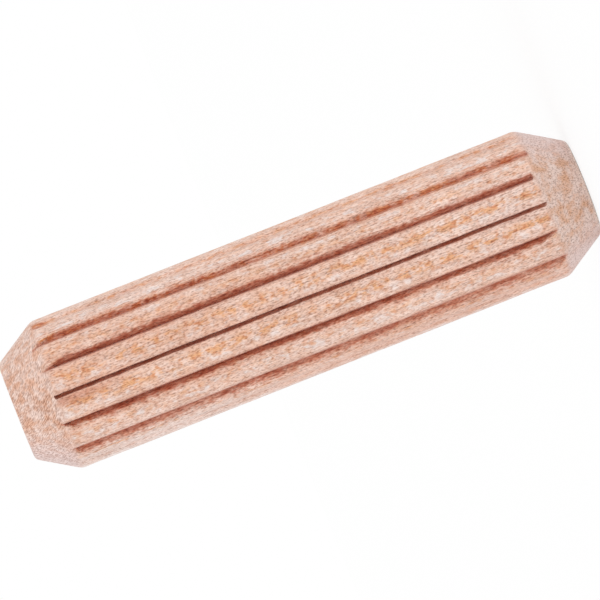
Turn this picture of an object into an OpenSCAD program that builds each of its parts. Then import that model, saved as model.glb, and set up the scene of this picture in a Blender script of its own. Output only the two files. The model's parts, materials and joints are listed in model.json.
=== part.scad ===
// Fluted wooden dowel pin
// A round shank with a long taper at each end. The flutes stop just past the shoulders.
// The pin stands on one end face with its axis on +Z. Sizes are in millimetres.

/* [Shank] */

// Overall length, from end face to end face
dowel_length = 40; // [25:0.5:80]
// Diameter over the lands between the flutes
dowel_d = 10.2; // [8:0.1:16]

/* [Tapered ends] */

// Length of each taper along the axis
taper_length = 3; // [2:0.1:4]
// Slope of the taper against the axis, in degrees
taper_angle = 32; // [20:1:40]
// Rounding where the taper meets the shank
shoulder_r = 1; // [0.2:0.1:2]
// Rounding where the taper meets the end face
rim_r = 0.45; // [0.1:0.05:0.8]

/* [Flutes] */

// Number of flutes round the shank
flute_count = 16; // [8:2:20]
// Width of a flute's floor
flute_floor_w = 0.3; // [0.2:0.05:0.6]
// Depth of a flute at its inner wall
flute_depth = 0.8; // [0.3:0.05:1]
// How far a flute runs past the shoulder on to the taper
flute_overrun = 0.3; // [0.1:0.05:0.8]

/* [Hidden] */

$fn = 96;
// Straight steps in each rounding of the outline
arc_steps = 6;

beech = [0.89, 0.73, 0.65];

shank_r = dowel_d / 2;
half_length = dowel_length / 2;
end_face_r = shank_r - taper_length * tan(taper_angle);

// Centres of the two roundings, as [radius, height above mid-length]
shoulder_centre = [
    shank_r - shoulder_r,
    half_length - taper_length - shoulder_r * tan(taper_angle / 2)
];
rim_centre = [
    end_face_r - rim_r * tan((90 - taper_angle) / 2),
    half_length - rim_r
];

flute_pitch = 360 / flute_count;
// Height of a flute's end wall above the nearer end face
flute_stop = taper_length - flute_overrun;
// Flute walls run this far past the shank's surface, to cut cleanly
flute_reach = 2 * flute_depth;

// Points along an arc from one angle to another
function arc(centre, r, from, to) = [
    for (i = [0:arc_steps])
        let (a = from + (to - from) * i / arc_steps)
        centre + r * [cos(a), sin(a)]
];

// Outline of the upper half: shoulder, taper, rim and end face
function upper_outline() = concat(
    arc(shoulder_centre, shoulder_r, 0, taper_angle),
    arc(rim_centre, rim_r, taper_angle, 90),
    [[0, half_length]]
);

function mirrored(outline) = [
    for (i = [len(outline) - 1:-1:0]) [outline[i].x, -outline[i].y]
];

// The turned blank, before its flutes are pressed in
module blank() {
    translate([0, 0, half_length])
        rotate_extrude()
            polygon(concat(upper_outline(), mirrored(upper_outline())));
}

// Cross-section of a flute that lies at an angle of lean from the stroke that presses it in.
// The stroke is along +Y. The inner wall follows it, and the outer wall follows the radius.
module flute_section(lean) {
    side = abs(lean);
    wall_x = shank_r * sin(side) - flute_floor_w / 2;
    floor_y = sqrt(shank_r ^ 2 - wall_x ^ 2) - flute_depth;
    mirror([lean < 0 ? 1 : 0, 0])
        polygon([
            [wall_x, floor_y],
            [wall_x + flute_floor_w, floor_y],
            [wall_x + flute_floor_w + flute_reach * sin(side), floor_y + flute_reach * cos(side)],
            [wall_x, floor_y + flute_reach]
        ]);
}

// One flute at an angle round the axis, pressed in from the nearer of two opposite sides.
// A flute midway between those sides is pressed in along its own radius.
module flute(angle) {
    nearer_side = round(angle / 180) * 180;
    midway = abs(angle - nearer_side) == 90;
    stroke = midway ? angle : nearer_side;
    rotate([0, 0, -stroke])
        translate([0, 0, flute_stop])
            linear_extrude(height = dowel_length - 2 * flute_stop)
                flute_section(angle - stroke);
}

module dowel_pin() {
    color(beech)
        difference() {
            blank();
            for (i = [0:flute_count - 1])
                flute(i * flute_pitch);
        }
}

dowel_pin();
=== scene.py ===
"""Looks of a fluted wooden dowel pin that stands on its end. Units are metres."""

import json
import math

import bpy
import numpy as np
from mathutils import Matrix, Vector

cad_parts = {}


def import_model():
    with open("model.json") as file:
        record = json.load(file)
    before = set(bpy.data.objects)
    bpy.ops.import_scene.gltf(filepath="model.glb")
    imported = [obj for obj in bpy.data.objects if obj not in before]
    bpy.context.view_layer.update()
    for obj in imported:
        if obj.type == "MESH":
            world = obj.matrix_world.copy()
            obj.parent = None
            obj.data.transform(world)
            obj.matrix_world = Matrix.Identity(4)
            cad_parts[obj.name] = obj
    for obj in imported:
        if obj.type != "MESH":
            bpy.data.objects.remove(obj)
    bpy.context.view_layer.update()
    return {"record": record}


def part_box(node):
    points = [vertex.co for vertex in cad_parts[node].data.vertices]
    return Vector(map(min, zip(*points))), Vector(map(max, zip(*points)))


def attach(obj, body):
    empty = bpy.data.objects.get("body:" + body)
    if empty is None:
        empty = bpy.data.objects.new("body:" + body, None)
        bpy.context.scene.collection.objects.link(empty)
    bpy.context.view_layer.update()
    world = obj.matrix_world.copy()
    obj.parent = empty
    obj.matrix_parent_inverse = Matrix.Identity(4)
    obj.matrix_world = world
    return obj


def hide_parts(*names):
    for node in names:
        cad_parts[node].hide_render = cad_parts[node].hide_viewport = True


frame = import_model()

MM = 0.001

# Form of the pin: the overall sizes come from the frame, the others repeat the solid's own

pin_low, pin_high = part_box("dowel_pin")
LENGTH = pin_high.z - pin_low.z
SHANK = next(m for m in frame["record"]["mounts"] if m["name"] == "shank")
SHANK_R = SHANK["dims"]["r_mm"] * MM
TAPER_LENGTH = 3.0 * MM
TAPER_ANGLE = math.radians(32)
SHOULDER_R = 1.0 * MM
RIM_R = 0.45 * MM
FLUTE_COUNT = 16
FLUTE_FLOOR_W = 0.3 * MM
FLUTE_DEPTH = 0.8 * MM
FLUTE_OVERRUN = 0.3 * MM

FLUTE_PITCH = 2 * math.pi / FLUTE_COUNT
END_FACE_R = SHANK_R - TAPER_LENGTH * math.tan(TAPER_ANGLE)
RIM_CENTRE_R = END_FACE_R - RIM_R * math.tan((math.pi / 2 - TAPER_ANGLE) / 2)
# Distance from the end face at which the rim passes into the taper
RIM_ENDS = RIM_R * (1 - math.sin(TAPER_ANGLE))
FLUTE_STOP = TAPER_LENGTH - FLUTE_OVERRUN

# Points of the mesh

RIM_RINGS = 5
TAPER_RINGS = 12
FLUTE_END_RINGS = 22
SHANK_RINGS = 242
# Where the rings of the flutes' ends begin and end, measured from the height at which the solid's flutes stop
FLUTE_END_FROM = -0.35 * MM
FLUTE_END_TO = 0.85 * MM
# Where the points of a flute lie: 0 is its inner lip, 1 its inner edge, 2 the foot of its inner wall,
# 3 its outer edge and 4 its outer lip
FLUTE_STEPS = (0, 1, 1.35, 1.7, 2, 2.2, 2.4, 2.6, 2.8, 3, 4)
LAND_STEPS = 7
# Rings on an end face, as shares of its radius
END_FACE_STEPS = (0.97, 0.86, 0.7, 0.52, 0.34, 0.17)
SHARP_ANGLE = math.radians(50)

# Wear and irregularities of the form

# Share of a flute's depth that is left at the foot of its inner wall. From there the torn fibres
# fill it up to its outer edge in a ramp, whose curve has this power: first in a flute that is pressed
# in along its own radius, then in one that leans by a pitch or more.
FLUTE_LEFT = 0.7
RAMP_POWER = (0.35, 1.2)
# The inner wall isn't quite steep: its foot stands this far outside its edge
WALL_FOOT = 0.05 * MM
# Rounding of a flute's edges: drop at the edge, and reach and drop of the lip on the land beside it
EDGE_DROP = 0.06 * MM
LIP_REACH = 0.16 * MM
LIP_DROP = 0.008 * MM
# Rounding of the corners at a flute's ends, in mm
END_CORNER = 0.10
# Size and length of a flute's slow sway, and of the waves in its inner edge
SWAY = 0.02 * MM
SWAY_CELL = 7 * MM
CRISP = 0.012 * MM
CRISP_CELL = 0.6 * MM
# Waves in a flute's outer edge: their size in mm, what a full tear adds to it, the share of that in the
# lower half, the length of the short and the long waves, and the share of the long ones
RAGGED = 0.015
RAGGED_TEAR = 0.05
RAGGED_LOWER = 0.4
RAGGED_CELL = 0.32 * MM
RAGGED_LONG_CELL = 2.5 * MM
RAGGED_LONG = 0.6
# Share of a flute's depth in the lower half, the mean share that uneven filling takes away, and the
# length of its waves
LOWER_DEPTH = 0.9
FILLING = 0.06
FILLING_CELL = 4 * MM
# A flute gets its stain and painted shade where it cuts this deep into a taper: none at the first depth, all
# at the second
STAIN_AND_SHADE_FROM = (-0.06 * MM, 0.04 * MM)
# Depth of the fibres' relief, width and length of its waves, and the least depth under the solid's surface
RELIEF = 0.016 * MM
RELIEF_CELL = (0.3 * MM, 1.5 * MM)
RELIEF_MIN = 0.001 * MM
# The upper taper is cut off centre: it is shallower by up to this on the -X side
UPPER_TAPER_SWELL = 0.21 * MM
# The looks of the shank pass into those of a taper within this distance on each side of their border
SHOULDER_BLEND = 0.25 * MM
# The lower half passes into the upper one between these shares of the length
HALVES = (0.4, 0.6)

# Flutes, numbered clockwise from +Y, seen from +Z. Flutes 5 to 11 face the camera. What is named SEEN
# is read from the photograph for single flutes or lands, and the others have the common values.

# Lower and upper end of a flute: distance from the end face, length of the run-out,
# and how much further in the outer side starts, in mm
SEEN_ENDS = {
    6: ((2.74, 0.08, 0.12), (1.85, 0.20, 2.50)),
    7: ((3.10, 0.08, 0.00), (1.85, 0.90, 1.80)),
    8: ((2.80, 0.20, 0.10), (2.66, 0.10, 0.00)),
    9: ((2.40, 0.30, 1.70), (2.12, 0.12, 1.30)),
    10: ((2.45, 0.25, 0.90), (2.22, 0.30, 0.90)),
}
# The same for the other flutes: lowest and highest distance and run-out, and a choice of starts
OTHER_STOP = (2.55, 2.85)
OTHER_RUN_OUT = (0.08, 0.35)
OTHER_SLANT = (0, 0, 0.3, 0.8)
# How far a flute strays clockwise in its lower and upper half, in mm
SEEN_STRAY = {
    6: (0.157, 0.052), 7: (0.05, 0.005), 8: (0.022, 0.022), 9: (0.055, 0.002), 10: (0.20, 0.20),
}
# Depth and width of a flute, where they aren't those of the others
SEEN_DEPTH = {5: 0.7, 11: 0.6}
SEEN_WIDTH = {6: 0.93, 8: 0.98, 10: 1.09}
# Strength of the brown stain and painted shade in a flute's lower and upper half: first by the number of
# steps from the middle of the side that it is pressed in from, then of the flutes that differ
STAIN_AND_SHADE_BY_STEPS = (0.8, 1.0, 0.6, 0.2, 0.1)
SEEN_STAIN_AND_SHADE = {
    5: (0.08, 0.08), 6: (0.50, 0.72), 7: (0.87, 0.93), 8: (0.80, 0.80),
    9: (0.86, 1.0), 10: (0.67, 0.77), 11: (0.045, 0.02),
}
# Share of the stain and painted shade at a flute's lips and at its edges, and what it gains from the edge to
# the full depth
LIP_STAIN_AND_SHADE = 0.06
EDGE_STAIN_AND_SHADE = 0.15
# The gain with depth is painted shade in the flute's hollow, over the stain
STAIN_AND_SHADE_GAIN = 2.2
SEEN_EDGE_STAIN_AND_SHADE = {10: 0.2}
SEEN_STAIN_AND_SHADE_GAIN = {10: 1.6}
# Share of the stain and painted shade at a flute's lower and upper end, and the length in which it grows to
# the whole
END_STAIN_AND_SHADE = (0.8, 0.85)
SEEN_END_STAIN_AND_SHADE = {6: (1.0, 0.85), 7: (1.0, 0.85), 8: (0.45, 0.9), 9: (0.6, 1.0), 10: (0.95, 0.85)}
END_STAIN_AND_SHADE_LENGTH = 2.4 * MM
# Strength of the orange fibres in a flute; flute 6's stronger orange is partly painted light on its open wall
FIBRES = 0.35
SEEN_FIBRES = {5: 0.6, 6: 1.0, 9: 0.5, 11: 0}
# Flute, height in mm, half length in mm and strength of single spots of stain, and how many times
# stronger the orange fibres are there
SEEN_SPOTS = ((5, 36.7, 0.9, 0.60), (5, 31.0, 1.5, 0.15), (5, 12.0, 1.2, 0.15), (10, 37.0, 0.6, 0.25))
SPOT_FIBRES = 2

# Lands: each has the number of the flute before it. Lands 5 to 10 face the camera.

# Place across a land, half width and strength of its orange fibres, and of its pale patches, which are
# painted highlights
SEEN_LANDS = {
    5: ((0.10, 0.3, 0.3), (0.70, 0.9, 1.0)),
    6: ((0.65, 0.5, 0.5), (0.20, 0.4, 0.8)),
    7: ((0.46, 0.4, 0.92), (0.76, 0.26, 0.85)),
    8: ((0.42, 0.4, 0.92), (0.76, 0.26, 0.85)),
    9: ((0.30, 0.5, 0.45), (0.50, 0.45, 1.05)),
    10: ((0.05, 0.4, 1.0), (0.95, 0.5, 0.9)),
    11: ((0.50, 0.5, 0.1), (0.40, 0.9, 1.0)),
}
# The same for the other lands: lowest and highest value of each
OTHER_ORANGE = ((0.2, 0.6), (0.3, 0.6), (0.4, 1))
OTHER_HIGHLIGHTS = ((0.4, 0.8), (0.2, 0.5), (0.4, 0.9))
# Share of the orange fibres and painted highlights that is left far from their place
STRAY_SPOTS = 0.2
# How fast the tear of a flute's outer edge fades across a land
TEAR_FADE = 14
# Strength of a land's pale wash and painted sheen, and of its browning, at these heights, in mm
TONE_HEIGHTS = (5, 20, 30)
# The wash is partly the wood's own paler tone, partly painted sheen on lands seen at a grazing angle
SEEN_WASH_AND_SHEEN = {
    4: (0.05, 0, 0.12), 5: (0.10, 0, 0.25), 6: (0.15, 0.05, 0), 7: (0.50, 0.05, 0), 8: (0.20, 0.07, 0),
    9: (0.05, 0.10, 0.05), 10: (0, 0, 0.55), 11: (0, 0, 0.50), 12: (0, 0, 0.36), 13: (0, 0, 0.16),
}
SEEN_BROWN = {
    6: (0, 0, 0.04), 7: (0, 0, 0.04), 9: (0, 0, 0.02), 10: (0.09, 0.08, 0.01), 11: (0.06, 0.06, 0),
}
# Land, place across it, half width, height in mm, half length in mm and strength of painted shade beside a
# flute's end
SEEN_PAINTED_SHADES = ((8, 0.0, 0.5, 36.4, 5.0, 0.36),)

# Colours of the wood, as they read on screen, 0 to 255

# Lands: the wood, the colour of its pale wash and painted highlights, and its orange spots with their flecks
PINK = (225, 182, 160)
LIGHT_PINK = (232, 198, 182)
PALE_AND_HIGHLIGHT = (234, 217, 211)
ORANGE = (224, 161, 111)
FLECK = (205, 134, 95)
# Tapers: the upper one's cut, the lower one's dust and the wood in its gaps, the painted sheen of their
# sides, and the painted light and wear of the lower rim
UPPER_CUT = (218, 168, 142)
UPPER_CUT_LIGHT = (230, 200, 187)
DUST = (224, 200, 190)
DUST_GAP = (212, 167, 139)
TAPER_SIDE_SHEEN = (225, 200, 196)
WORN_AND_LIT = (252, 232, 220)
# End faces
EARLY_WOOD = (222, 185, 163)
LATE_WOOD = (211, 168, 143)
# What a full stain and painted shade leave of the wood's red, green and blue
STAIN_AND_SHADE_TINT = (0.57, 0.27, 0.20)

# Patterns of the wood. First their noise: width across the fibres and length along them in mm, detail,
# shift and roughness. Then how it is used: noise at the low and the high end, and their values,
# or nothing where the noise is used as it is.

PATTERNS = {
    # Lands
    "fibre": ((0.08, 0.21, 1.0, 0.0, 0.5), (0.21, 0.60, 0.56, 1.165)),
    "streak": ((0.09, 2.2, 2.0, 7.3, 0.5), (0.25, 0.75, -0.20, 0.17)),
    "blotch": ((0.60, 0.80, 1.0, 3.1, 0.5), (0.30, 0.70, 0.0, 1.0)),
    "highlight_patch": ((0.52, 0.80, 1.0, 17.7, 0.5), (0.52, 0.60, 0.10, 1.0)),
    "spot": ((0.44, 0.60, 1.5, 11.9, 0.5), (0.40, 0.64, 0.05, 1.0)),
    "fleck": ((0.20, 0.30, 0.0, 41.3, 0.5), (0.45, 0.75, 0.0, 1.0)),
    # Flutes
    "tatter": ((0.13, 0.42, 1.0, 31.7, 0.5), (0.48, 0.70, 0.0, 0.35)),
    "smear": ((0.60, 1.70, 1.0, 43.9, 0.5), None),
    # Tapers: the first two of the upper one, then those of the lower one
    "stroke": ((0.080, 0.14, 1.0, 27.7, 0.5), (0.26, 0.68, 0.545, 1.245)),
    "mottle": ((0.60, 0.85, 3.0, 29.3, 0.6), (0.36, 0.64, 0.0, 1.0)),
    "speck": ((0.085, 0.15, 1.0, 23.1, 0.5), (0.24, 0.58, 0.58, 1.14)),
    "pepper": ((0.15, 0.20, 0.0, 51.7, 0.5), (0.62, 0.78, 0.0, 0.22)),
    "smudge": ((0.90, 0.80, 3.0, 37.9, 0.6), (0.40, 0.66, 0.0, 1.0)),
    # End faces
    "ray": ((0.09, 1.1, 1.0, 13.3, 0.5), (0.35, 0.65, -0.10, 0.08)),
    "pore": ((0.10, 0.10, 1.0, 61.3, 0.5), (0.30, 0.62, 0.80, 1.08)),
    # All over
    "drift": ((1.8, 5.0, 1.0, 5.7, 0.5), (0.3, 0.7, -0.03, 0.03)),
}
# Middle of a pattern's noise
NOISE_MIDDLE = 0.5
# How far the tatters break up an orange spot
SPOT_TATTER = 0.45
# Share of the flecks that shows anywhere, and what full orange adds to it
FLECK_ANYWHERE = 0.25
FLECK_IN_ORANGE = 0.8
# How far a painted highlight evens out the fibres
HIGHLIGHT_EVENING = 0.5
# Powers with which red and blue follow the light and dark of the fibres
LIGHT_RED = 0.79
LIGHT_BLUE = 1.10
# How far tatters and smears change the stain and painted shade: where there is none, and by how much less
# where it is full
UNEVEN = (2.8, 1.7)
BLOTS = (2.4, 1.3)
# Where the tapers turn to the paler colour of their sides, which is partly painted sheen, from the front to
# the side, and how far they do. The upper one does so on the -X side alone.
UPPER_SIDE_SHEEN = (0.4, 0.95, 0.0, 0.7)
LOWER_SIDE_SHEEN = (0.45, 0.95, 0.0, 0.65)
# Heights between which the lower rim's pale colour ends: painted light against the floor's shade, with some
# wear
WORN_AND_LIT_RIM = (0.02 * MM, 0.30 * MM)
# Radius half way along a taper, where the tool's strokes lie at 45 degrees
TAPER_MID_R = (SHANK_R + END_FACE_R) / 2
# Where the tree's middle lies, the width of its growth rings, and where late wood begins and ends in one
PITH = (0.009, 0.014, 0)
RING_WIDTH = 1.3 * MM
LATE_SHARE = (0.2, 1.0)
# Light and dark between which the wood's roughness changes, and its values there
ROUGHNESS = (0.7, 1.2, 0.7, 0.55)
BUMP_DEPTH = 0.05 * MM

# Where the camera stood, read from the photograph. Pixels count from its top left corner.

PHOTO_PX = 600
PHOTO_LENGTH_PX = 610.3
PHOTO_CENTRE_PX = (300.27, 298.52)
PHOTO_AXIS_TILT = math.radians(21.54)
CAMERA_DISTANCE = 0.52
CAMERA_AZIMUTH = math.radians(1.6)
CAMERA_ELEVATION = math.radians(1.3)
SENSOR_MM = 36

# Floor and light

WHITE = (1, 1, 1, 1)
FLOOR_SIZE = 3.0
FLOOR_COLOUR = (0.98, 0.98, 0.98, 1)
# Share of plain white in the floor that the camera sees: the rest shows the shadow
FLOOR_WHITE = 0.8
# The one lamp: a soft square light
KEY_PLACE = (0.36, -0.85, 0.35)
KEY_SIZE = 0.6
KEY_WATTS = 0.3

# Random values, the same at each run
rng = np.random.default_rng(16)


# Smooth steps and smooth random values

def ease(t):
    """Smooth step from 0 to 1."""
    return t * t * (3 - 2 * t)


def ramp(low, high, x):
    """0 below low, 1 above high, smooth between."""
    return ease(np.clip((x - low) / (high - low), 0, 1))


def hump(x, centre, width):
    """1 at the centre, 0 at a width from it and beyond."""
    return 1 - ramp(0, width, np.abs(x - centre))


def line_noise(x, cell):
    """Smooth noise from -1 to 1 along one axis, with a new random run at each call."""
    at = (x - x.min()) / cell
    first = np.floor(at).astype(int)
    values = rng.uniform(-1, 1, first.max() + 2)
    blend = ease(at - first)
    return values[first] * (1 - blend) + values[first + 1] * blend


def rough_line(x, cell):
    """Line noise with a finer and weaker copy of itself on top."""
    return line_noise(x, cell) + line_noise(x, cell / 2) / 2


def sheet_noise(angle, heights, cell_round, cell_along):
    """Smooth noise from -1 to 1 over the pin's surface, joined up all the way round."""
    cells = round(2 * math.pi * SHANK_R / cell_round)
    at_round = angle / (2 * math.pi) * cells
    at_along = np.repeat(heights[:, None] / cell_along, angle.shape[1], axis=1)
    i, k = np.floor(at_along).astype(int), np.floor(at_round).astype(int)
    grid = rng.uniform(-1, 1, (i.max() + 2, cells))
    across, along = ease(at_round - k), ease(at_along - i)
    this = grid[i, k % cells] * (1 - across) + grid[i, (k + 1) % cells] * across
    following = grid[i + 1, k % cells] * (1 - across) + grid[i + 1, (k + 1) % cells] * across
    return this * (1 - along) + following * along


# The turned blank

def taper_length(swell):
    """Length of a taper whose radius is larger by a swell."""
    return TAPER_LENGTH - swell / math.tan(TAPER_ANGLE)


def blank_radius(end_distance, swell):
    """Radius of the turned blank, at a distance from the nearer end."""
    e = end_distance
    in_rim = np.sqrt(np.maximum(RIM_R**2 - (RIM_R - np.minimum(e, RIM_R)) ** 2, 0))
    rim = RIM_CENTRE_R + swell + in_rim
    taper = END_FACE_R + swell + e * math.tan(TAPER_ANGLE)
    shoulder_start = taper_length(swell) + SHOULDER_R * math.tan(TAPER_ANGLE / 2)
    from_shank = np.clip(shoulder_start - e, 0, SHOULDER_R)
    shoulder = SHANK_R - SHOULDER_R + np.sqrt(SHOULDER_R**2 - from_shank**2)
    shoulder_begins = shoulder_start - SHOULDER_R * math.sin(TAPER_ANGLE)
    return np.where(e < RIM_ENDS, rim, np.where(e < shoulder_begins, taper, shoulder))


def blank_at(angle, heights):
    """Radius of the blank and share of the shank at each height, on one side of the pin."""
    end_distance = np.minimum(heights, LENGTH - heights)
    swell = np.where(heights > LENGTH / 2, UPPER_TAPER_SWELL * (1 - math.sin(angle)) / 2, 0)
    start = taper_length(swell)
    on_shank = ramp(start - SHOULDER_BLEND, start + SHOULDER_BLEND, end_distance)
    return blank_radius(end_distance, swell), on_shank


def ring_heights():
    """Heights of the rings of points, closest where the flutes end."""
    dense_from, dense_to = FLUTE_STOP + FLUTE_END_FROM, FLUTE_STOP + FLUTE_END_TO
    end = np.concatenate([
        RIM_ENDS * (1 - np.cos(np.linspace(0, math.pi / 2, RIM_RINGS, endpoint=False))),
        np.linspace(RIM_ENDS, dense_from, TAPER_RINGS, endpoint=False),
        np.linspace(dense_from, dense_to, FLUTE_END_RINGS, endpoint=False),
    ])
    shank = np.linspace(dense_to, LENGTH - dense_to, SHANK_RINGS)
    return np.concatenate([end, shank, LENGTH - end[::-1]])


def by_half(low, high, heights):
    """A value that differs between the lower and the upper half."""
    upper = ramp(HALVES[0] * LENGTH, HALVES[1] * LENGTH, heights)
    return low * (1 - upper) + high * upper


# Flutes and lands

def random_end():
    return rng.uniform(*OTHER_STOP), rng.uniform(*OTHER_RUN_OUT), rng.choice(OTHER_SLANT)


def random_land():
    orange = tuple(rng.uniform(*limits) for limits in OTHER_ORANGE)
    highlight = tuple(rng.uniform(*limits) for limits in OTHER_HIGHLIGHTS)
    return orange, highlight


ENDS = dict(enumerate([(random_end(), random_end()) for n in range(FLUTE_COUNT)])) | SEEN_ENDS
LANDS = dict(enumerate([random_land() for n in range(FLUTE_COUNT)])) | SEEN_LANDS


def nearer_side(n):
    """Middle of the side that a flute is pressed in from."""
    return round(n * FLUTE_PITCH / math.pi) * math.pi


def flute_stroke(n):
    """Angle of the stroke that presses a flute in. One midway between the sides has its own."""
    angle = n * FLUTE_PITCH
    midway = math.isclose(abs(angle - nearer_side(n)), math.pi / 2)
    return angle if midway else nearer_side(n)


def flute_corners(lean):
    """Angles from the stroke of a flute's inner edge, the foot of its inner wall and its outer edge,
    and the depth of the foot."""
    wall_x = SHANK_R * math.sin(lean) - FLUTE_FLOOR_W / 2
    floor_y = math.sqrt(SHANK_R**2 - wall_x**2) - FLUTE_DEPTH
    floor_x = wall_x + FLUTE_FLOOR_W
    along = floor_x * math.sin(lean) + floor_y * math.cos(lean)
    reach = math.sqrt(along**2 + SHANK_R**2 - floor_x**2 - floor_y**2) - along
    inner = (wall_x, floor_y + FLUTE_DEPTH)
    foot = (wall_x, floor_y + (1 - FLUTE_LEFT) * FLUTE_DEPTH)
    outer = (floor_x + reach * math.sin(lean), floor_y + reach * math.cos(lean))
    return [math.atan2(x, y) for x, y in (inner, foot, outer)], SHANK_R - math.hypot(*foot)


def flute_outline(n, lean):
    """Angles from the stroke and depths of a flute's lips, edges and foot, from the inner lip outwards."""
    (inner, foot, outer), foot_depth = flute_corners(lean)
    outer = inner + (outer - inner) * SEEN_WIDTH.get(n, 1)
    foot = max(foot, inner) + WALL_FOOT / SHANK_R
    lip = LIP_REACH / SHANK_R
    angles = [inner - lip, inner, foot, outer, outer + lip]
    return angles, [LIP_DROP, EDGE_DROP, foot_depth, EDGE_DROP, LIP_DROP]


def open_share(n, step, heights):
    """How far a point of a flute is open at each height: 0 past its ends, 1 between them."""
    outward = min(max((step - 1) / 2, 0), 1)
    corner = END_CORNER * (2 * outward - 1) ** 2
    share = np.ones_like(heights)
    for (stop, run_out, slant), distance in zip(ENDS[n], (heights, LENGTH - heights)):
        start = (stop + corner + slant * outward) * MM
        share = share * ramp(start, start + run_out * MM, distance)
    return share


def flute_stain_and_shade(n, heights):
    """Strength of the stain and painted shade, and of the orange fibres, in a flute at each height."""
    steps = round(abs(n * FLUTE_PITCH - nearer_side(n)) / FLUTE_PITCH)
    stain_and_shade = by_half(*SEEN_STAIN_AND_SHADE.get(n, (STAIN_AND_SHADE_BY_STEPS[steps],) * 2), heights)
    fibres = SEEN_FIBRES.get(n, FIBRES) * np.ones_like(heights)
    for which, height, half_length, strength in SEEN_SPOTS:
        if which == n:
            spot = strength * hump(heights, height * MM, half_length * MM)
            stain_and_shade = stain_and_shade + spot
            fibres = fibres + SPOT_FIBRES * spot
    end_stain_and_shade = SEEN_END_STAIN_AND_SHADE.get(n, END_STAIN_AND_SHADE)
    for share, (stop, *_), distance in zip(end_stain_and_shade, ENDS[n], (heights, LENGTH - heights)):
        grown = ramp(stop * MM, stop * MM + END_STAIN_AND_SHADE_LENGTH, distance)
        stain_and_shade = stain_and_shade * (share + (1 - share) * grown)
    return stain_and_shade, fibres


def stain_and_shade_share(n, depth, foot_depth):
    """Share of a flute's stain and painted shade at a depth: the deeper, the darker."""
    if depth < EDGE_DROP:
        return LIP_STAIN_AND_SHADE
    down = (depth - EDGE_DROP) / (foot_depth - EDGE_DROP)
    return min(SEEN_EDGE_STAIN_AND_SHADE.get(n, EDGE_STAIN_AND_SHADE) + SEEN_STAIN_AND_SHADE_GAIN.get(n, STAIN_AND_SHADE_GAIN) * down, 1)


def land_tone(seen, n, heights):
    """Strength of the pale wash and painted sheen, or of the browning, on a land at each height."""
    return np.interp(heights / MM, TONE_HEIGHTS, seen.get(n % FLUTE_COUNT, (0, 0, 0)))


def flute_tone(seen, n, heights):
    """The same in a flute: half way between the lands beside it."""
    return (land_tone(seen, n - 1, heights) + land_tone(seen, n, heights)) / 2


def browning_and_shade(n, share, heights):
    """Strength of the browning and painted shade at a share of the way across a land."""
    brown_and_shade = land_tone(SEEN_BROWN, n, heights)
    # These places are painted shade of a dent beside a flute's end
    for which, place, half_width, height, half_length, strength in SEEN_PAINTED_SHADES:
        if which == n:
            near = hump(share, place, half_width) * hump(heights, height * MM, half_length * MM)
            brown_and_shade = brown_and_shade + strength * near
    return brown_and_shade


def flute_waves(torn, heights):
    """Random sway of a flute, moves of its lips, edges and foot, and share of its depth that is filled."""
    sway = SWAY / SHANK_R * rough_line(heights, SWAY_CELL)
    crisp = CRISP / SHANK_R * rough_line(heights, CRISP_CELL)
    size = (RAGGED + RAGGED_TEAR * torn * by_half(RAGGED_LOWER, 1, heights)) * MM / SHANK_R
    waves = rough_line(heights, RAGGED_CELL) + RAGGED_LONG * line_noise(heights, RAGGED_LONG_CELL)
    ragged = size * waves
    filled = FILLING * (1 + line_noise(heights, FILLING_CELL))
    return sway, [crisp, crisp, crisp / 2, ragged, ragged], filled


def flute_points(n, heights):
    """Columns of a flute's points, in order of rising angle."""
    stroke = flute_stroke(n)
    lean = n * FLUTE_PITCH - stroke
    side = -1 if lean < 0 else 1
    # The tool tears the fibres most where it presses at 45 degrees to the surface
    torn = math.sin(2 * abs(lean))
    angles, depths = flute_outline(n, abs(lean))
    foot_depth = depths[2]
    ramp_power = np.interp(abs(lean), (0, FLUTE_PITCH), RAMP_POWER)
    stray = by_half(*SEEN_STRAY.get(n, (0, 0)), heights) * MM / SHANK_R
    sway, moves, filled = flute_waves(torn, heights)
    deep = SEEN_DEPTH.get(n, 1) * by_half(LOWER_DEPTH, 1, heights) * (1 - filled)
    blank, _ = blank_at(n * FLUTE_PITCH, heights)
    under_shank = SHANK_R - blank
    stain_and_shade, fibres = flute_stain_and_shade(n, heights)
    stain_and_shade = stain_and_shade * ramp(*STAIN_AND_SHADE_FROM, foot_depth * deep - under_shank)

    points = []
    for step in FLUTE_STEPS:
        k = min(int(step), len(depths) - 2)
        share = step - k
        around = (angles[k] + moves[k]) * (1 - share) + (angles[k + 1] + moves[k + 1]) * share
        rest = (1 - share) ** ramp_power if k == 2 else 1 - share
        depth = depths[k] * rest + depths[k + 1] * (1 - rest)
        opened = open_share(n, step, heights)
        # Deeper in the flute the colour darkens: painted shade in its hollow, over the stain
        stain_and_shade_here = stain_and_shade_share(n, depth, foot_depth)
        points.append({
            "angle": stroke + side * around + sway + stray,
            "radius": blank - np.maximum(depth * deep - under_shank, 0) * opened,
            "stain_and_shade": stain_and_shade * stain_and_shade_here * opened,
            "torn": torn * min(max(step - 2, 0), 1) * stain_and_shade,
            "orange": fibres * stain_and_shade_here,
            "wash_and_sheen": flute_tone(SEEN_WASH_AND_SHEEN, n, heights),
            "brown_and_shade": flute_tone(SEEN_BROWN, n, heights),
        })
    points = points[::side]
    points[0]["brown_and_shade"] = browning_and_shade(n - 1, 1, heights)
    points[-1]["brown_and_shade"] = browning_and_shade(n, 0, heights)
    return points


def speckled(share, place, half_width, strength):
    """Strength of orange spots or painted highlights at a share of the way across a land: a few are
    everywhere.
    """
    return strength * (STRAY_SPOTS + (1 - STRAY_SPOTS) * hump(share, place, half_width))


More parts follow.
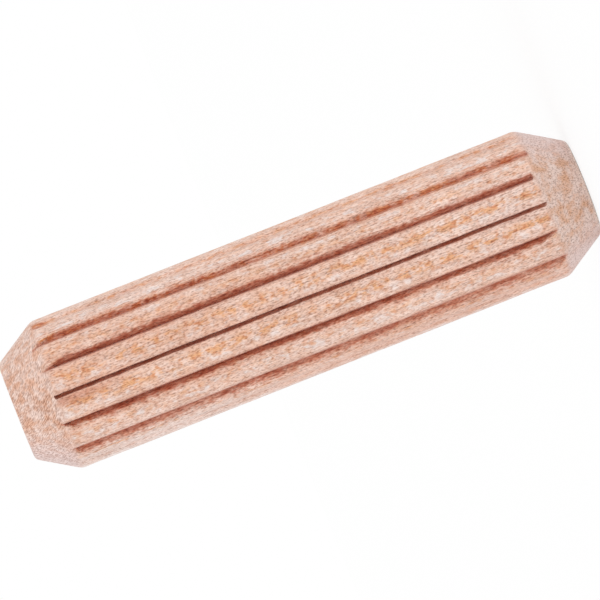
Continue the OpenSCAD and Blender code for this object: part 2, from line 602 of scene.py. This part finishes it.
def land_points(n, before, after, turn, heights):
    """Columns of the points on a land, between a flute's last point and the next one's first.
    The next one's angle counts from a turn further on."""
    orange, highlight = LANDS[n]
    points = []
    for k in range(1, LAND_STEPS + 1):
        share = k / (LAND_STEPS + 1)
        tear_before = math.exp(-share * TEAR_FADE) * before["torn"]
        tear_after = math.exp(-(1 - share) * TEAR_FADE) * after["torn"]
        points.append({
            "angle": before["angle"] * (1 - share) + (after["angle"] + turn) * share,
            "radius": blank_at((n + share) * FLUTE_PITCH, heights)[0],
            "torn": np.maximum(tear_before, tear_after),
            "orange": speckled(share, *orange),
            "highlight": speckled(share, *highlight),
            "wash_and_sheen": land_tone(SEEN_WASH_AND_SHEEN, n, heights),
            "brown_and_shade": browning_and_shade(n, share, heights),
        })
    return points


# The pin's mesh

def pin_columns(heights):
    """All the columns of points, once round the pin."""
    flutes = [flute_points(n, heights) for n in range(FLUTE_COUNT)]
    columns = []
    for n, flute in enumerate(flutes):
        turn = 2 * math.pi if n == FLUTE_COUNT - 1 else 0
        after = flutes[(n + 1) % FLUTE_COUNT][0]
        columns += flute + land_points(n, flute[-1], after, turn, heights)
    return columns


def shell(angle, radius, heights):
    """Points and faces of the pin without its end faces."""
    rings, around = angle.shape
    points = np.stack([
        radius * np.sin(angle),
        radius * np.cos(angle),
        np.repeat(heights[:, None], around, axis=1),
    ], axis=2)
    here = np.arange(rings * around).reshape(rings, around)
    beside = np.roll(here, -1, axis=1)
    faces = np.stack([here[:-1], here[1:], beside[1:], beside[:-1]], axis=2)
    return points.reshape(-1, 3).tolist(), faces.reshape(-1, 4).tolist()


def close_end(points, faces, outer, angle, radius, height, upward):
    """Closes an end of the pin, from the points of its outermost ring in steps to the centre."""
    around = len(outer)
    for share in END_FACE_STEPS:
        inner = list(range(len(points), len(points) + around))
        for a, r in zip(angle, radius * share):
            points.append([r * math.sin(a), r * math.cos(a), height])
        for k in range(around):
            after = (k + 1) % around
            quad = [outer[k], inner[k], inner[after], outer[after]]
            faces.append(quad if upward else quad[::-1])
        outer = inner
    centre = len(points)
    points.append([0, 0, height])
    for k in range(around):
        tri = [outer[k], centre, outer[(k + 1) % around]]
        faces.append(tri if upward else tri[::-1])


def pin_mesh():
    heights = ring_heights()
    columns = pin_columns(heights)

    def sheet(name):
        return np.stack([np.broadcast_to(c.get(name, 0.0), heights.shape) for c in columns], axis=1)

    angle, radius = sheet("angle"), sheet("radius")
    relief = (1 + sheet_noise(angle, heights, *RELIEF_CELL)) / 2
    radius = radius - RELIEF_MIN - RELIEF * relief
    rings, around = angle.shape
    points, faces = shell(angle, radius, heights)
    lowest, highest = list(range(around)), list(range((rings - 1) * around, rings * around))
    close_end(points, faces, lowest, angle[0], radius[0], heights[0], False)
    close_end(points, faces, highest, angle[-1], radius[-1], heights[-1], True)

    mesh = bpy.data.meshes.new("dowel")
    mesh.from_pydata(points, [], faces)
    mesh.shade_smooth()
    mesh.set_sharp_from_angle(angle=SHARP_ANGLE)

    def attribute(name, values, on_end_faces):
        """A value at each point that the material reads."""
        data = mesh.attributes.new(name, "FLOAT", "POINT").data
        end_values = np.full(len(points) - rings * around, on_end_faces)
        data.foreach_set("value", np.concatenate([values.ravel(), end_values]).astype(np.float32))

    on_shank = np.stack([blank_at(a, heights)[1] for a in angle.mean(axis=0)], axis=1)
    attribute("stain_and_shade", sheet("stain_and_shade"), 0)
    for name in ("torn", "orange", "highlight", "wash_and_sheen", "brown_and_shade"):
        attribute(name, sheet(name) * on_shank, 0)
    attribute("tapered", 1 - on_shank, 1)
    attribute("sawn", np.zeros_like(radius), 1)
    return mesh


# Materials

class Graph:
    """Short calls for making and joining shader nodes. Sockets that share a name are found by number."""

    def __init__(self, tree):
        self.tree = tree
        tree.nodes.clear()

    def put(self, socket, value):
        if isinstance(value, bpy.types.NodeSocket):
            self.tree.links.new(value, socket)
        else:
            socket.default_value = value

    def node(self, kind, inputs=(), **settings):
        made = self.tree.nodes.new(kind)
        for name, value in settings.items():
            setattr(made, name, value)
        for key, value in dict(inputs).items():
            self.put(made.inputs[key], value)
        return made

    def math(self, operation, a, b=0.0, clamp=False):
        return self.node("ShaderNodeMath", {0: a, 1: b}, operation=operation, use_clamp=clamp).outputs[0]

    def vector(self, operation, *inputs):
        return self.node("ShaderNodeVectorMath", dict(enumerate(inputs)), operation=operation).outputs[0]

    def split(self, place):
        return self.node("ShaderNodeSeparateXYZ", {0: place}).outputs

    def join(self, x, y, z):
        return self.node("ShaderNodeCombineXYZ", {0: x, 1: y, 2: z}).outputs[0]

    def remap(self, value, low, high, to_low=0.0, to_high=1.0):
        sockets = {"Value": value, "From Min": low, "From Max": high, "To Min": to_low, "To Max": to_high}
        return self.node("ShaderNodeMapRange", sockets, interpolation_type="SMOOTHSTEP").outputs["Result"]

    def blend(self, share, a, b):
        """A value between two others."""
        return self.node("ShaderNodeMix", {0: share, 2: a, 3: b}).outputs[0]

    def mix(self, share, a, b, how="MIX"):
        """A colour between two others, or made of both."""
        made = self.node("ShaderNodeMix", {0: share, 6: a, 7: b}, data_type="RGBA", blend_type=how)
        return made.outputs[2]

    def scale(self, colour, red, green, blue):
        """A colour with its parts multiplied by three values."""
        parts = self.node("ShaderNodeCombineColor", {0: red, 1: green, 2: blue})
        return self.mix(1.0, colour, parts.outputs[0], "MULTIPLY")

    def attribute(self, name):
        return self.node("ShaderNodeAttribute", attribute_name=name).outputs["Fac"]

    def noise(self, pattern, at):
        """A pattern's noise at a place."""
        across, along, detail, shift, rough = PATTERNS[pattern][0]
        cells = self.vector("DIVIDE", at, (across * MM, across * MM, along * MM))
        moved = self.vector("ADD", cells, (shift, shift, shift))
        sockets = {"Vector": moved, "Scale": 1.0, "Detail": detail, "Roughness": rough}
        return self.node("ShaderNodeTexNoise", sockets).outputs["Fac"]

    def used(self, pattern, noise):
        """A pattern's noise as the values that it stands for."""
        return self.remap(noise, *PATTERNS[pattern][1])

    def tone(self, pattern, at):
        """A pattern's values at a place."""
        return self.used(pattern, self.noise(pattern, at))

    def swing(self, noise):
        """A noise about zero."""
        return self.math("SUBTRACT", noise, NOISE_MIDDLE)

    def output(self, shader, kind="ShaderNodeOutputMaterial"):
        self.node(kind, {"Surface": shader.outputs[0]})


def linear(colour):
    """A colour as it reads on screen, 0 to 255, as the shader takes it."""
    shares = [part / 255 for part in colour]
    return tuple(v / 12.92 if v <= 0.04045 else ((v + 0.055) / 1.055) ** 2.4 for v in shares) + (1.0,)


def lands(g, place, tatter):
    """Colour and light of the lands: pinkish wood with a pale wash and painted highlights, and orange spots
    with flecks.
    """
    wood = g.mix(g.tone("blotch", place), linear(PINK), linear(LIGHT_PINK))
    # The pale wash is partly painted sheen
    wood = g.mix(g.attribute("wash_and_sheen"), wood, linear(PALE_AND_HIGHLIGHT))
    # The pale patches are painted highlights on the lands
    highlight = g.math("MULTIPLY", g.attribute("highlight"), g.tone("highlight_patch", place))
    wood = g.mix(highlight, wood, linear(PALE_AND_HIGHLIGHT))
    broken = g.math("MULTIPLY", g.swing(tatter), SPOT_TATTER)
    spot = g.math("ADD", g.noise("spot", place), broken)
    orange = g.math("MULTIPLY", g.attribute("orange"), g.used("spot", spot))
    wood = g.mix(orange, wood, linear(ORANGE))
    flecked = g.math("ADD", g.math("MULTIPLY", orange, FLECK_IN_ORANGE), FLECK_ANYWHERE)
    flecked = g.math("MULTIPLY", flecked, g.tone("fleck", place))
    wood = g.mix(flecked, wood, linear(FLECK))
    light = g.math("ADD", g.tone("fibre", place), g.tone("streak", place))
    light = g.blend(g.math("MULTIPLY", highlight, HIGHLIGHT_EVENING), light, 1.0)
    return wood, light


def wound(g, side, height):
    """A place that turns about the axis as it rises, so that a pattern there runs askew."""
    turn = g.math("DIVIDE", height, TAPER_MID_R)
    turned = g.node("ShaderNodeVectorRotate", {"Vector": side, "Angle": turn}, rotation_type="Z_AXIS")
    upright = g.join(0.0, 0.0, height)
    return g.vector("MULTIPLY_ADD", turned.outputs[0], (TAPER_MID_R, TAPER_MID_R, 0), upright)


def tapers(g, place):
    """Colour and light of the tapers: the upper one shows the tool's strokes, the lower one is dusty."""
    across, deep, height = g.split(place)
    lower = g.remap(height, HALVES[0] * LENGTH, HALVES[1] * LENGTH, 1.0, 0.0)
    side = g.vector("NORMALIZE", g.join(across, deep, 0.0))
    upper_cut = g.mix(g.tone("mottle", place), linear(UPPER_CUT), linear(UPPER_CUT_LIGHT))
    lower_cut = g.mix(g.tone("smudge", place), linear(DUST), linear(DUST_GAP))
    cut = g.mix(lower, upper_cut, lower_cut)
    aside = g.split(side)["X"]
    # Paler towards the sides, partly as painted sheen
    upper_sheen = g.remap(g.math("MULTIPLY", aside, -1.0), *UPPER_SIDE_SHEEN)
    lower_sheen = g.remap(g.math("ABSOLUTE", aside), *LOWER_SIDE_SHEEN)
    cut = g.mix(g.blend(lower, upper_sheen, lower_sheen), cut, linear(TAPER_SIDE_SHEEN))
    # A pale lower rim: painted light that lifts the shade where it meets the floor, with some wear
    cut = g.mix(g.remap(height, *WORN_AND_LIT_RIM, 1.0, 0.0), cut, linear(WORN_AND_LIT))
    upper_light = g.tone("stroke", wound(g, side, height))
    lower_light = g.math("SUBTRACT", g.tone("speck", place), g.tone("pepper", place))
    return cut, g.blend(lower, upper_light, lower_light)


def end_faces(g, place):
    """Colour and light of the sawn end faces: growth rings, rays out of the tree's middle and pores."""
    flat = g.vector("MULTIPLY", g.vector("SUBTRACT", place, PITH), (1, 1, 0))
    out = g.node("ShaderNodeVectorMath", {0: flat}, operation="LENGTH").outputs["Value"]
    ring = g.math("FRACT", g.math("DIVIDE", out, RING_WIDTH))
    sawn = g.mix(g.remap(ring, *LATE_SHARE), linear(EARLY_WOOD), linear(LATE_WOOD))
    bearing = g.math("ARCTAN2", g.split(flat)["Y"], g.split(flat)["X"])
    fan = g.join(g.math("MULTIPLY", bearing, math.hypot(*PITH)), 0.0, out)
    return sawn, g.math("ADD", g.tone("pore", place), g.tone("ray", fan))


def browned_and_shaded(g, place, tatter, wood):
    """The wood with its flutes browned by the pressing tool and darkened by painted shade in their hollows,
    and torn outside.
    """
    stain_and_shade, torn = g.attribute("stain_and_shade"), g.attribute("torn")

    def change(noise, none, full):
        return g.math("MULTIPLY", g.swing(noise), g.math("SUBTRACT", none, g.math("MULTIPLY", stain_and_shade, full)))

    uneven = g.math("MULTIPLY", change(tatter, *UNEVEN), g.math("ADD", torn, 1.0))
    blots = change(g.noise("smear", place), *BLOTS)
    brown_and_shade = g.math("MULTIPLY", stain_and_shade, g.math("ADD", g.math("ADD", uneven, blots), 1.0))
    brown_and_shade = g.math("ADD", brown_and_shade, g.math("MULTIPLY", torn, g.used("tatter", tatter)))
    brown_and_shade = g.math("ADD", brown_and_shade, g.attribute("brown_and_shade"))
    return g.scale(wood, *(g.math("POWER", part, brown_and_shade) for part in STAIN_AND_SHADE_TINT))


def beech():
    material = bpy.data.materials.new("beech")
    material.use_nodes = True
    g = Graph(material.node_tree)
    place = g.node("ShaderNodeTexCoord").outputs["Object"]
    tatter = g.noise("tatter", place)

    wood, light = lands(g, place, tatter)
    for name, (colour, shade) in (("tapered", tapers(g, place)), ("sawn", end_faces(g, place))):
        share = g.attribute(name)
        wood = g.mix(share, wood, colour)
        light = g.blend(share, light, shade)
    light = g.math("ADD", light, g.tone("drift", place))
    wood = g.scale(wood, g.math("POWER", light, LIGHT_RED), light, g.math("POWER", light, LIGHT_BLUE))
    wood = browned_and_shaded(g, place, tatter, wood)

    bump = g.node("ShaderNodeBump", {"Strength": 0.4, "Distance": BUMP_DEPTH, "Height": light})
    g.output(g.node("ShaderNodeBsdfPrincipled", {
        "Base Color": wood,
        "Roughness": g.remap(light, *ROUGHNESS),
        "Specular IOR Level": 0.4,
        "Sheen Weight": 0.25,
        "Sheen Roughness": 0.4,
        "Normal": bump.outputs["Normal"],
    }))
    return material


# The pin

pin = bpy.data.objects.new("dowel", pin_mesh())
bpy.context.scene.collection.objects.link(pin)
pin.data.materials.append(beech())
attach(pin, "root")
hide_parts("dowel_pin")


# Floor, light and camera

def seen_rays(g):
    """1 for the rays that show the background: to the camera, in a gloss and through glass."""
    path = g.node("ShaderNodeLightPath")
    seen = g.math("ADD", path.outputs["Is Camera Ray"], path.outputs["Is Glossy Ray"], True)
    return g.math("ADD", seen, path.outputs["Is Transmission Ray"], True)


def floor_material():
    material = bpy.data.materials.new("floor")
    material.use_nodes = True
    g = Graph(material.node_tree)
    lit = g.node("ShaderNodeBsdfDiffuse", {"Color": FLOOR_COLOUR})
    white = g.node("ShaderNodeEmission", {"Color": WHITE, "Strength": 1.0})
    share = g.math("MULTIPLY", seen_rays(g), FLOOR_WHITE)
    g.output(g.node("ShaderNodeMixShader", {0: share, 1: lit.outputs[0], 2: white.outputs[0]}))
    return material


def floor():
    half = FLOOR_SIZE / 2
    corners = [(-half, -half, 0), (half, -half, 0), (half, half, 0), (-half, half, 0)]
    mesh = bpy.data.meshes.new("floor")
    mesh.from_pydata(corners, [], [(0, 1, 2, 3)])
    mesh.materials.append(floor_material())
    made = bpy.data.objects.new("floor", mesh)
    bpy.context.scene.collection.objects.link(made)


def world():
    made = bpy.data.worlds.new("studio")
    made.use_nodes = True
    g = Graph(made.node_tree)
    background = g.node("ShaderNodeBackground", {"Color": WHITE, "Strength": 1.0})
    g.output(background, "ShaderNodeOutputWorld")
    bpy.context.scene.world = made


def area_light(name, place, aim, size, watts):
    data = bpy.data.lights.new(name, "AREA")
    data.size = size
    data.energy = watts
    made = bpy.data.objects.new(name, data)
    made.location = place
    made.rotation_euler = (Vector(aim) - Vector(place)).to_track_quat("-Z", "Y").to_euler()
    bpy.context.scene.collection.objects.link(made)


def camera():
    centre = Vector((0, 0, LENGTH / 2))
    toward = Vector((
        math.sin(CAMERA_AZIMUTH) * math.cos(CAMERA_ELEVATION),
        -math.cos(CAMERA_AZIMUTH) * math.cos(CAMERA_ELEVATION),
        math.sin(CAMERA_ELEVATION),
    ))
    level_up = (Vector((0, 0, 1)) - toward * toward.z).normalized()
    level_right = level_up.cross(toward)
    roll = -(math.pi / 2 + PHOTO_AXIS_TILT)
    right = level_right * math.cos(roll) + level_up * math.sin(roll)
    up = level_up * math.cos(roll) - level_right * math.sin(roll)

    metres_per_px = LENGTH / PHOTO_LENGTH_PX
    off_right = (PHOTO_CENTRE_PX[0] - PHOTO_PX / 2) * metres_per_px
    off_up = (PHOTO_PX / 2 - PHOTO_CENTRE_PX[1]) * metres_per_px
    stand = centre + toward * CAMERA_DISTANCE - right * off_right - up * off_up

    data = bpy.data.cameras.new("camera")
    data.sensor_fit = "HORIZONTAL"
    data.sensor_width = SENSOR_MM
    data.lens = SENSOR_MM * CAMERA_DISTANCE / (metres_per_px * PHOTO_PX)
    made = bpy.data.objects.new("camera", data)
    made.matrix_world = Matrix((
        (right.x, up.x, toward.x, stand.x),
        (right.y, up.y, toward.y, stand.y),
        (right.z, up.z, toward.z, stand.z),
        (0, 0, 0, 1),
    ))
    bpy.context.scene.collection.objects.link(made)
    bpy.context.scene.camera = made


floor()
world()
area_light("key", KEY_PLACE, (0, 0, LENGTH / 2), KEY_SIZE, KEY_WATTS)
camera()
bpy.context.scene.view_settings.view_transform = "Standard"
